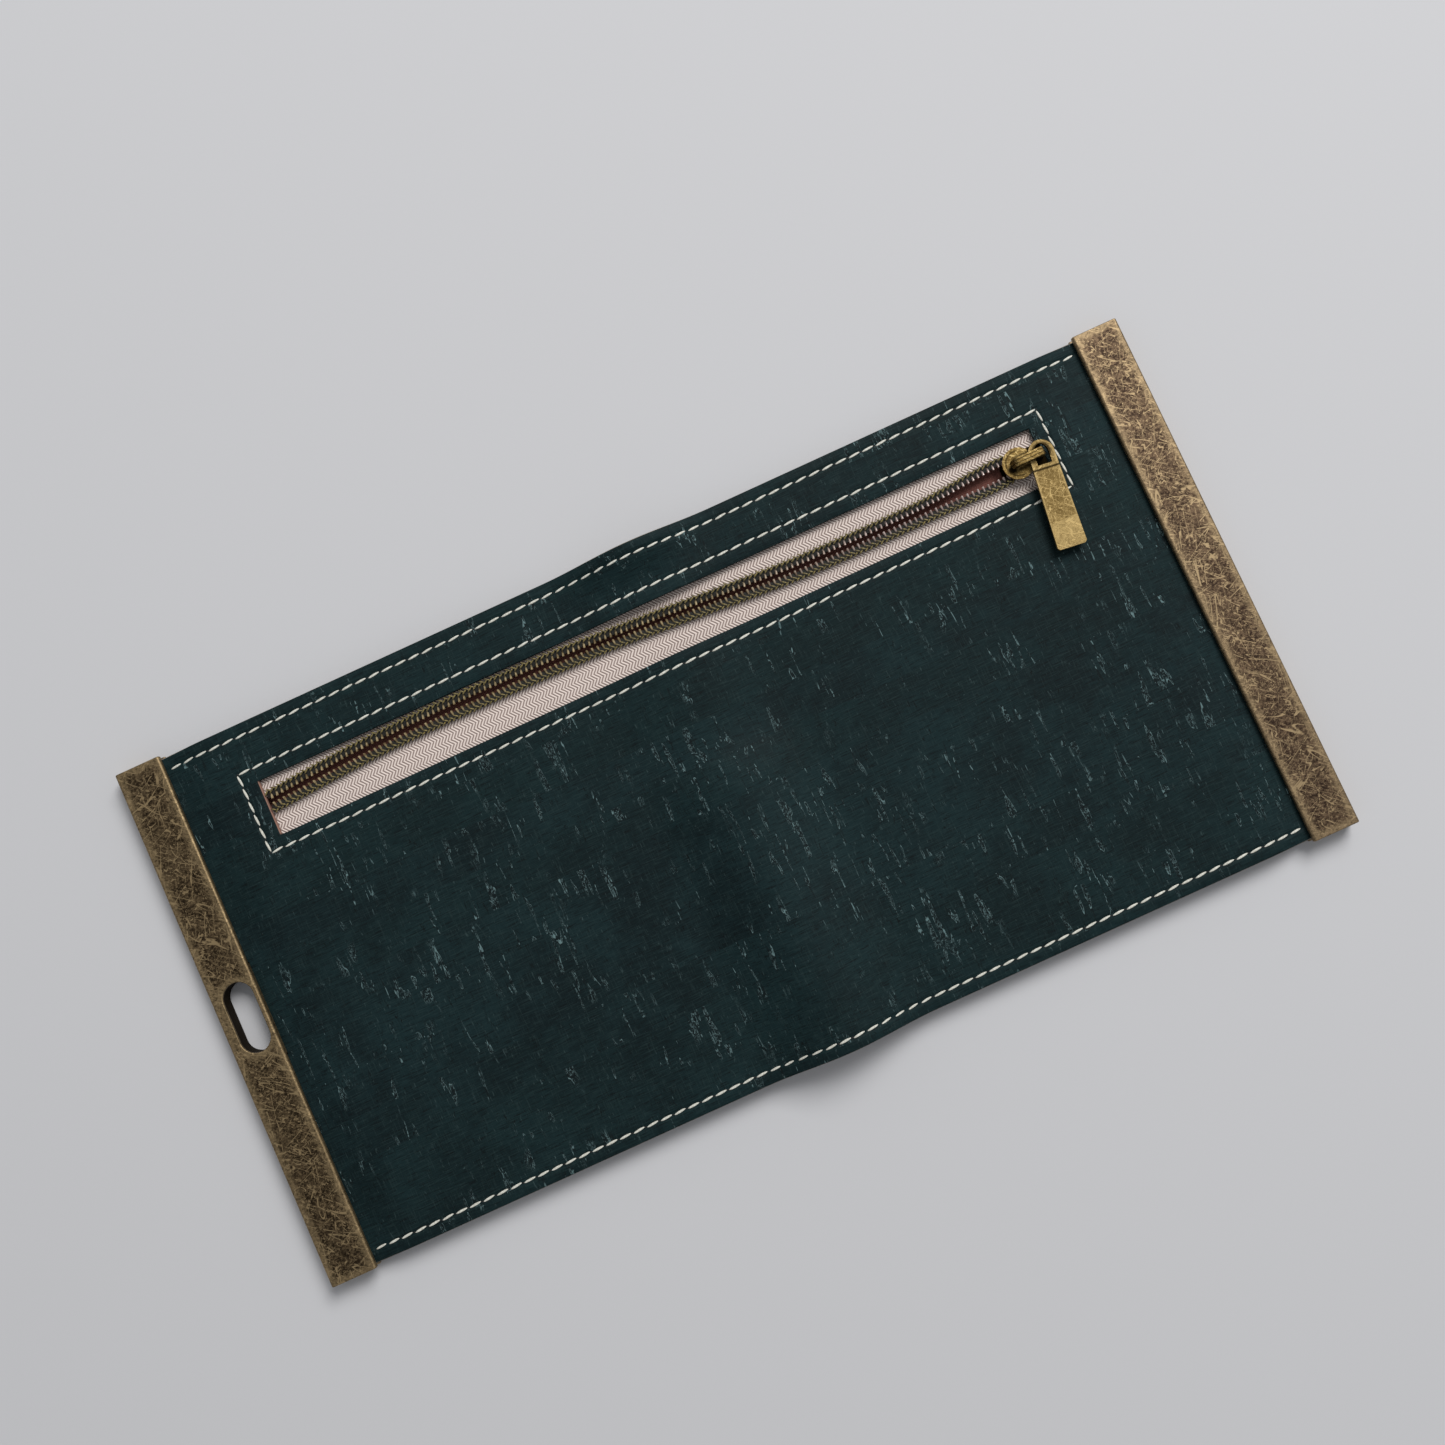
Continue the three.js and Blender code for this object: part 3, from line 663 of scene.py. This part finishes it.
def cloth_finish(name, low, high):
    """Plain woven cloth between two tones."""
    made, n, shader = material(name)
    place = millimetres(n)
    weave = use(n, WEAVE, Place=place, Threads=CLOTH_THREADS)["Height"]
    cloud = n.noise(place, 0.12, 3.0)
    base = n.mix(n.math("MULTIPLY_ADD", weave, 0.6, n.math("MULTIPLY", cloud, 0.4)), low, high)
    n.link(base, shader.inputs["Base Color"])
    shader.inputs["Roughness"].default_value = 0.9
    shader.inputs["Sheen Weight"].default_value = 0.1
    bump(n, shader, weave, 0.5, 0.08)
    return made


def thread_finish(name, low, high):
    """Twisted thread with a fine fibre grain."""
    made, n, shader = material(name)
    place = millimetres(n)
    twist = n.noise(n.stretch(place, (3.0, 3.0, 3.0)), 1.2, 3.0, 0.6)
    n.link(n.mix(n.step(twist, 0.35, 0.65), low, high), shader.inputs["Base Color"])
    shader.inputs["Roughness"].default_value = 0.55
    shader.inputs["Sheen Weight"].default_value = 0.2
    bump(n, shader, twist, 0.4, 0.05)
    return made


def tooth_finish():
    """Coil loops: dull olive brass over most of the chain, bright pinkish silver near the slider."""
    made, n, shader = material("coil_tooth")
    place = millimetres(n)
    x, _, _ = n.split(place)
    cloud = n.noise(place, 1.3, 2.0)
    dull = n.mix(n.step(cloud, 0.3, 0.7), srgb(112, 95, 64), srgb(184, 165, 126))
    bright = n.mix(n.step(cloud, 0.3, 0.7), srgb(150, 128, 118), srgb(206, 188, 182))
    n.link(n.mix(n.step(x, 5, 50), dull, bright), shader.inputs["Base Color"])
    shader.inputs["Roughness"].default_value = 0.3
    shader.inputs["Metallic"].default_value = 0.25
    return made


def shadow_finish(name, low, high):
    """Dull dark finish of what lies in shade."""
    made, n, shader = material(name)
    cloud = n.noise(millimetres(n), 0.9, 2.0)
    n.link(n.mix(cloud, low, high), shader.inputs["Base Color"])
    shader.inputs["Roughness"].default_value = 0.8
    return made


# Dark, light and worn tones of each kind of brass
AGED_TONES = (srgb(46, 37, 27), srgb(108, 91, 68), srgb(172, 150, 114))
# Tones of the right bar, paler than the left bar's as a painted reflection
REFLECTING_AGED_TONES = (srgb(55, 43, 36), srgb(110, 91, 72), srgb(172, 150, 116))
PULL_TONES = (srgb(100, 81, 46), srgb(142, 120, 77), srgb(182, 158, 108))
SLIDER_TONES = (srgb(98, 78, 42), srgb(146, 122, 74), srgb(188, 164, 110))

FINISH = {
    "cork": cork_finish(),
    "inner_panel": cloth_finish("inner_cloth", srgb(128, 119, 108), srgb(158, 148, 136)),
    "pocket_lining": cloth_finish("lining_cloth", srgb(98, 58, 50), srgb(136, 86, 76)),
    "zip_tape": tape_finish(),
    "aged_brass": brass_finish("aged_brass", AGED_TONES, 2.0, bar_edges, slot_wall_shade, REFLECTING_AGED_TONES),
    "pull_brass": brass_finish("pull_brass", PULL_TONES, 3.6, pull_edges, pull_painted_shade),
    "slider_brass": brass_finish("slider_brass", SLIDER_TONES, 3.0, None, slider_painted_shade),
    "bridge_brass": brass_finish("bridge_brass", SLIDER_TONES, 3.0, None, bridge_groove_shade),
    "tooth": tooth_finish(),
    "coil_thread": thread_finish("coil_thread", srgb(64, 54, 20), srgb(138, 122, 62)),
    # Painted shade: near-black strip under the coil teeth
    "coil_bed_shade": shadow_finish("coil_bed_shade", srgb(14, 13, 11), srgb(30, 28, 22)),
    "thread": thread_finish("sewing_thread", srgb(186, 184, 172), srgb(226, 225, 214)),
    # Painted shade: near-black discs in the needle holes
    "needle_hole_shade": shadow_finish("needle_hole_shade", srgb(6, 9, 9), srgb(12, 16, 16)),
}


# Modelling tools

def deselect():
    if bpy.context.object and bpy.context.object.mode != "OBJECT":
        bpy.ops.object.mode_set(mode="OBJECT")
    bpy.ops.object.select_all(action="DESELECT")


def pick(obj):
    deselect()
    obj.select_set(True)
    bpy.context.view_layer.objects.active = obj
    return obj


def apply_modifier(obj, kind, **settings):
    pick(obj)
    made = obj.modifiers.new(kind.title(), kind)
    for key, value in settings.items():
        setattr(made, key, value)
    bpy.ops.object.modifier_apply(modifier=made.name)


def round_edges(obj, width, sharpest):
    """Bevels the edges that turn by more than some degrees."""
    apply_modifier(obj, "BEVEL", width=width * MM, segments=2, limit_method="ANGLE",
                   angle_limit=math.radians(sharpest))


def dress(obj, name, body, slot, finish, *nodes):
    """Names a finished piece, gives it its finish and puts it on its body."""
    obj.name = name
    obj.data.name = name
    obj.data.materials.clear()
    obj.data.materials.append(FINISH[finish])
    pick(obj)
    bpy.ops.object.shade_smooth_by_angle(angle=math.radians(SMOOTH_ANGLE))
    if finish.endswith("brass"):
        apply_modifier(obj, "WEIGHTED_NORMAL", keep_sharp=True, weight=100)
    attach(obj, body)
    if nodes:
        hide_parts(*nodes)
    return obj


def steps(first, last, step):
    count = math.ceil((last - first) / step - 1e-9)
    return [first + (last - first) * i / count for i in range(count + 1)]


def runs(*stops, step):
    """Grid lines through each stop, no further apart than step."""
    found = []
    for first, last in zip(stops, stops[1:]):
        found += steps(first, last, step)[:-1]
    return found + [stops[-1]]


def grid_sheet(columns, rows, place, thickness, edge, keep=None):
    """Sheet of even thickness. place(column, row) gives X, Y and the underside's Z in millimetres."""
    deselect()
    across, along = len(columns) - 1, len(rows) - 1
    bpy.ops.mesh.primitive_grid_add(x_subdivisions=across, y_subdivisions=along, size=1)
    obj = bpy.context.object
    centres = {}
    for vertex in obj.data.vertices:
        column = columns[round((vertex.co.x + 0.5) * across)]
        row = rows[round((vertex.co.y + 0.5) * along)]
        centres[vertex.index] = (column, row)
        vertex.co = Vector(place(column, row)) * MM
    if keep:
        mesh = bmesh.new()
        mesh.from_mesh(obj.data)
        mesh.faces.ensure_lookup_table()
        gone = []
        for face in mesh.faces:
            middle = [sum(centres[v.index][i] for v in face.verts) / 4 for i in (0, 1)]
            if not keep(*middle):
                gone.append(face)
        bmesh.ops.delete(mesh, geom=gone, context="FACES")
        mesh.to_mesh(obj.data)
        mesh.free()
    apply_modifier(obj, "SOLIDIFY", thickness=thickness * MM, offset=1, use_even_offset=True)
    round_edges(obj, edge, SHEET_CORNER)
    return obj


def many(part, places):
    """One mesh object made of copies of part, each turned and moved by a matrix."""
    whole = bmesh.new()
    for place in places:
        first = len(whole.verts)
        whole.from_mesh(part.data)
        whole.verts.ensure_lookup_table()
        bmesh.ops.transform(whole, matrix=place, verts=whole.verts[first:])
    data = bpy.data.meshes.new("copies")
    whole.to_mesh(data)
    whole.free()
    obj = bpy.data.objects.new("copies", data)
    bpy.context.scene.collection.objects.link(obj)
    bpy.data.objects.remove(part)
    return obj


def pebble(length, width, height, segments, rings):
    """Small rounded body at the origin, long in X, in millimetres."""
    deselect()
    bpy.ops.mesh.primitive_uv_sphere_add(segments=segments, ring_count=rings, radius=0.5)
    obj = bpy.context.object
    bpy.ops.object.mode_set(mode="EDIT")
    bpy.ops.mesh.select_all(action="SELECT")
    bpy.ops.transform.rotate(value=math.pi / 2, orient_axis="Y", center_override=(0, 0, 0))
    bpy.ops.transform.resize(value=(length * MM, width * MM, height * MM), center_override=(0, 0, 0))
    bpy.ops.object.mode_set(mode="OBJECT")
    return obj


def placed(x, y, z, along=(1, 0, 0), slant=0.0):
    """Matrix that puts a part at x, y, z in millimetres, its length along a direction."""
    turn = Vector(along).normalized().to_track_quat("X", "Z").to_matrix().to_4x4()
    return Matrix.Translation(Vector((x, y, z)) * MM) @ turn @ Matrix.Rotation(slant, 4, "Z")


# Sheets

def panel_columns(grid):
    return runs(-PANEL_END, -BAR_FACE + BAR_FACE_GAP, WINDOW_LEFT, FOLD_X - FOLD_HALF_WIDTH,
                FOLD_X + FOLD_HALF_WIDTH, WINDOW_RIGHT, BAR_FACE, PANEL_END, step=grid[0])


def panel_rows(half, grid):
    return runs(-half, -SLOT_KEEP_OUT, SLOT_KEEP_OUT, WINDOW_BOTTOM, WINDOW_TOP, half, step=grid[1])


def outside_slot(x, y):
    return x > -BAR_FACE + BAR_FACE_GAP or abs(y) > SLOT_KEEP_OUT


def outer_panel():
    def keep(x, y):
        in_window = WINDOW_LEFT < x < WINDOW_RIGHT and WINDOW_BOTTOM < y < WINDOW_TOP
        return outside_slot(x, y) and not in_window
    place = lambda x, y: (x, y, cork_underside(x, y))
    columns, rows = panel_columns(CORK_GRID), panel_rows(PANEL_HALF, CORK_GRID)
    obj = grid_sheet(columns, rows, place, CORK, CORK_EDGE, keep)
    dress(obj, "cork_outer_panel", "wallet", "cork", "cork", "outer_panel")


def inner_panel():
    place = lambda x, y: (x, y, inner_underside(x, y))
    columns, rows = panel_columns(CLOTH_GRID), panel_rows(INNER_HALF, CLOTH_GRID)
    obj = grid_sheet(columns, rows, place, INNER_PANEL, CLOTH_EDGE, outside_slot)
    dress(obj, "inner_cloth_panel", "wallet", "inner_panel", "inner_panel", "inner_panel")


def pocket_lining():
    place = lambda x, y: (x, y, lining_underside(x, y))
    step_x, step_y = CLOTH_GRID
    rows = runs(-LINING_HALF, 0, WINDOW_BOTTOM, LINING_HALF, step=step_y)
    columns = runs(-EASE_START, FOLD_X - FOLD_HALF_WIDTH, FOLD_X + FOLD_HALF_WIDTH, EASE_START, step=step_x)
    obj = grid_sheet(columns, rows, place, POCKET_LINING, LINING_EDGE)
    dress(obj, "pocket_lining_cloth", "wallet", "pocket_lining", "pocket_lining", "pocket_lining")


def card_pocket(name, side):
    end = BAR_FACE - CARD_POCKET_GAP
    step_x, step_y = CLOTH_GRID
    columns = steps(CARD_MOUTH, end, step_x) if side > 0 else steps(-end, -CARD_MOUTH, step_x)
    rows = runs(-PANEL_HALF, 0, PANEL_HALF, step=step_y)
    place = lambda x, y: (x, y, card_underside(x, y))
    obj = grid_sheet(columns, rows, place, CARD_POCKET, CARD_POCKET_EDGE)
    dress(obj, "cloth_" + name, "wallet", "inner_panel", "inner_panel", name)


def tape(name):
    path, side = CHAINS[name]
    edge = WINDOW_TOP + TAPE_OVERLAP if side > 0 else WINDOW_BOTTOM - TAPE_OVERLAP
    columns = steps(path[0][0], path[-1][0], TAPE_GRID)
    rows = TAPE_ROWS if side > 0 else TAPE_ROWS[::-1]
    place = lambda x, across: (x, mix(path_height(path, x), edge, across), TAPE_Z)
    obj = grid_sheet(columns, rows, place, TAPE, CLOTH_EDGE)
    dress(obj, "tape_" + name, "wallet", "zip_tape", "zip_tape", "zipper_tape_" + name)


# Zip chain

def along_chain(name, start):
    """Points one pitch apart from start pitches on, with the chain's direction there."""
    path, _ = CHAINS[name]
    count = int((WINDOW_RIGHT - WINDOW_LEFT - CHAIN_MARGIN) / COIL_PITCH)
    for i in range(count):
        x = WINDOW_LEFT + FIRST_TOOTH + (i + start) * COIL_PITCH
        rise = path_height(path, x + SLOPE_REACH) - path_height(path, x - SLOPE_REACH)
        yield x, path_height(path, x), Vector((2 * SLOPE_REACH, rise, 0)).normalized()


def coil(name):
    _, side = CHAINS[name]
    places = []
    for x, y, along in along_chain(name, 0.5):
        across = Vector((-along.y, along.x, 0)) * side
        middle = Vector((x, y, COIL_Z + TOOTH_RISE)) - across * (COIL_WIDTH - TOOTH_LENGTH) / 2
        places.append(placed(*middle, along=-across, slant=-side * TOOTH_SLANT))
    teeth = many(tooth(), places)
    dress(teeth, "coil_teeth_" + name, "wallet", "zip_coil", "tooth", "zipper_coil_" + name)
    coil_bed_shade(name, side)
    for row, shift in enumerate(COIL_THREAD_ROWS):
        stitches = []
        for x, y, along in along_chain(name, row * 0.5):
            across = Vector((-along.y, along.x, 0)) * side
            height = COIL_Z + COIL_THREAD_RISE - COIL_THREAD_DROP * row
            middle = Vector((x, y, height)) + across * shift
            slant = side * COIL_THREAD_SLANT * (1 - 2 * row)
            stitches.append(placed(*middle, along=along, slant=slant))
        obj = many(pebble(*COIL_THREAD, *COIL_THREAD_FACES), stitches)
        dress(obj, "coil_thread_%s_%d" % (name, row + 1), "wallet", "zip_coil", "coil_thread")


def tooth():
    """Loop of the coil, seen from above as a round-headed bar that is thicker at the mouth."""
    deselect()
    bpy.ops.mesh.primitive_cylinder_add(vertices=10, radius=TOOTH_RADIUS * MM, depth=TOOTH_LENGTH * MM)
    obj = bpy.context.object
    bpy.ops.object.mode_set(mode="EDIT")
    bpy.ops.mesh.select_all(action="SELECT")
    bpy.ops.transform.rotate(value=math.pi / 2, orient_axis="Y", center_override=(0, 0, 0))
    bpy.ops.object.mode_set(mode="OBJECT")
    for vertex in obj.data.vertices:
        head = vertex.co.x > 0
        vertex.co.z = vertex.co.z * TOOTH_HEAD_HEIGHT if head else vertex.co.z - TOOTH_TAIL_DROP * MM
        vertex.co.y *= TOOTH_HEAD_WIDTH if head else TOOTH_TAIL_WIDTH
    round_edges(obj, TOOTH_ROUNDING, SHEET_CORNER)
    return obj


def coil_bed_shade(name, side):
    """Dark filler cord and backs of the loops under the teeth, painted near black as the shade between the
    loops.
    """
    path, _ = CHAINS[name]
    columns = steps(WINDOW_LEFT + COIL_CORD_END, WINDOW_RIGHT - COIL_CORD_END, TAPE_GRID)
    rows = [-COIL_CORD_INNER, COIL_CORD_OUTER] if side > 0 else [-COIL_CORD_OUTER, COIL_CORD_INNER]
    place = lambda x, across: (x, path_height(path, x) + across, COIL_Z + COIL_CORD_LIFT)
    obj = grid_sheet(columns, rows, place, COIL_CORD, COIL_CORD_EDGE)
    dress(obj, "coil_cord_shade_" + name, "wallet", "zip_coil", "coil_bed_shade")


# Sewing

def row_points(first, last):
    """Middles of the stitches between two corners."""
    count = round((Vector(last) - Vector(first)).length / STITCH_PITCH)
    for i in range(count):
        t = (i + 0.5) / count
        yield mix(first[0], last[0], t), mix(first[1], last[1], t)


def sewing_rows():
    edge_y = PANEL_HALF - EDGE_ROW_INSET
    end = BAR_FACE - EDGE_ROW_END
    left, right = SEAM_BOX["left"], SEAM_BOX["right"]
    bottom, top = SEAM_BOX["bottom"], SEAM_BOX["top"]
    return {
        "lower_edge": [((-end, -edge_y), (end, -edge_y))],
        "upper_edge": [((-end, edge_y), (end, edge_y))],
        "zip_window": [((left, bottom), (right, bottom)), ((right, bottom), (right, top)),
                       ((right, top), (left, top)), ((left, top), (left, bottom))],
    }


def sewing():
    rng = random.Random(STITCH_SEED)
    for name, sides in sewing_rows().items():
        stitches, holes = [], []
        for first, last in sides:
            way = (Vector(last) - Vector(first)).normalized()
            for x, y in row_points(first, last):
                back, front = (x - way.x, y - way.y), (x + way.x, y + way.y)
                climb = cork_top(*front) - cork_top(*back)
                along = Vector((2 * way.x, 2 * way.y, climb))
                slant = STITCH_SLANT + rng.uniform(-STITCH_UNEVENNESS, STITCH_UNEVENNESS)
                stitches.append(placed(x, y, cork_top(x, y) - STITCH_SINK, along, slant))
                # Each needle hole gets a flat near-black disc: painted shade in the hole
                hole = (x + way.x * STITCH_PITCH / 2, y + way.y * STITCH_PITCH / 2)
                holes.append(placed(*hole, cork_top(*hole) - HOLE_SINK, along))
        obj = many(pebble(*STITCH, *STITCH_FACES), stitches)
        dress(obj, "thread_" + name, "wallet", "cork", "thread")
        obj = many(pebble(*NEEDLE_HOLE, *NEEDLE_HOLE_FACES), holes)
        dress(obj, "needle_holes_" + name, "wallet", "cork", "needle_hole_shade")
    for name in ("lower_edge", "upper_edge"):
        inner_stitches(name, *sewing_rows()[name][0])


def inner_stitches(name, first, last):
    """The same row where it comes out on the inner side."""
    stitches = []
    for x, y in row_points(first, last):
        on_pocket = CARD_MOUTH < abs(x) < BAR_FACE
        surface = card_underside if on_pocket else inner_underside
        along = Vector((2, 0, surface(x + 1, y) - surface(x - 1, y)))
        stitches.append(placed(x, y, surface(x, y) + STITCH_SINK, along, STITCH_SLANT))
    obj = many(pebble(*STITCH, *STITCH_FACES), stitches)
    dress(obj, "thread_inner_" + name, "wallet", "inner_panel", "thread")


# Metal pieces

def metal_copy(node, width):
    """The node's own solid with its edges rounded over."""
    source = frame["nodes"][node]
    obj = source.copy()
    obj.data = source.data.copy()
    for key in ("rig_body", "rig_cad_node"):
        if key in obj:
            del obj[key]
    obj.parent = None
    bpy.context.scene.collection.objects.link(obj)
    pick(obj)
    bpy.ops.object.mode_set(mode="EDIT")
    bpy.ops.mesh.select_all(action="SELECT")
    bpy.ops.mesh.remove_doubles(threshold=MERGE_DISTANCE * MM)
    bpy.ops.mesh.dissolve_limited(angle_limit=math.radians(FLAT_ANGLE))
    bpy.ops.object.mode_set(mode="OBJECT")
    round_edges(obj, width, METAL_CORNER)
    return obj


def bars():
    for node in ("bar_left", "bar_right"):
        dress(metal_copy(node, BAR_ROUNDING), "brass_" + node, "wallet", "aged_brass", "aged_brass", node)


def slider():
    for node, width, body, finish in (
            ("slider_body", SLIDER_ROUNDING, "slider", "slider_brass"),
            ("slider_bridge", BRIDGE_ROUNDING, "slider", "bridge_brass"),
            ("pull_tab", PULL_ROUNDING, "pull", "pull_brass")):
        dress(metal_copy(node, width), "brass_" + node, body, "pull_brass", finish, node)


# Room, light and camera

def camera():
    data = bpy.data.cameras.new("camera")
    data.sensor_width = SENSOR
    data.lens = SENSOR * FOCAL_PIXELS / PICTURE_PIXELS
    obj = bpy.data.objects.new("camera", data)
    obj.location = CAMERA_PLACE
    obj.rotation_euler = [math.radians(a) for a in CAMERA_TURN]
    bpy.context.scene.collection.objects.link(obj)
    bpy.context.scene.camera = obj


def floor():
    deselect()
    bpy.ops.mesh.primitive_plane_add(size=FLOOR_SIZE, location=(0, 0, -FLOOR_DROP))
    obj = bpy.context.object
    obj.name = "floor"
    made, _, shader = material("floor_paper")
    shader.inputs["Base Color"].default_value = srgb(200, 200, 203)
    shader.inputs["Roughness"].default_value = 0.9
    obj.data.materials.append(made)


def lamp(name):
    """Soft square lamp that points at the middle of the wallet."""
    data = bpy.data.lights.new(name, "AREA")
    data.size = LAMP_SIZE
    data.energy = LAMP_POWER
    data.color = LAMP_TINT
    obj = bpy.data.objects.new(name, data)
    obj.location = LAMP_PLACE
    obj.rotation_euler = (-Vector(LAMP_PLACE)).to_track_quat("-Z", "Y").to_euler()
    bpy.context.scene.collection.objects.link(obj)


def lights():
    world = bpy.data.worlds.new("room")
    world.use_nodes = True
    background = world.node_tree.nodes["Background"]
    background.inputs["Color"].default_value = ROOM_TINT
    background.inputs["Strength"].default_value = ROOM_STRENGTH
    bpy.context.scene.world = world
    lamp("window_light")


camera()
floor()
lights()
outer_panel()
inner_panel()
pocket_lining()
card_pocket("card_pocket_left", -1)
card_pocket("card_pocket_right", 1)
tape("upper")
tape("lower")
coil("upper")
coil("lower")
sewing()
bars()
slider()

bpy.context.scene.view_settings.view_transform = "Standard"
bpy.context.view_layer.update()
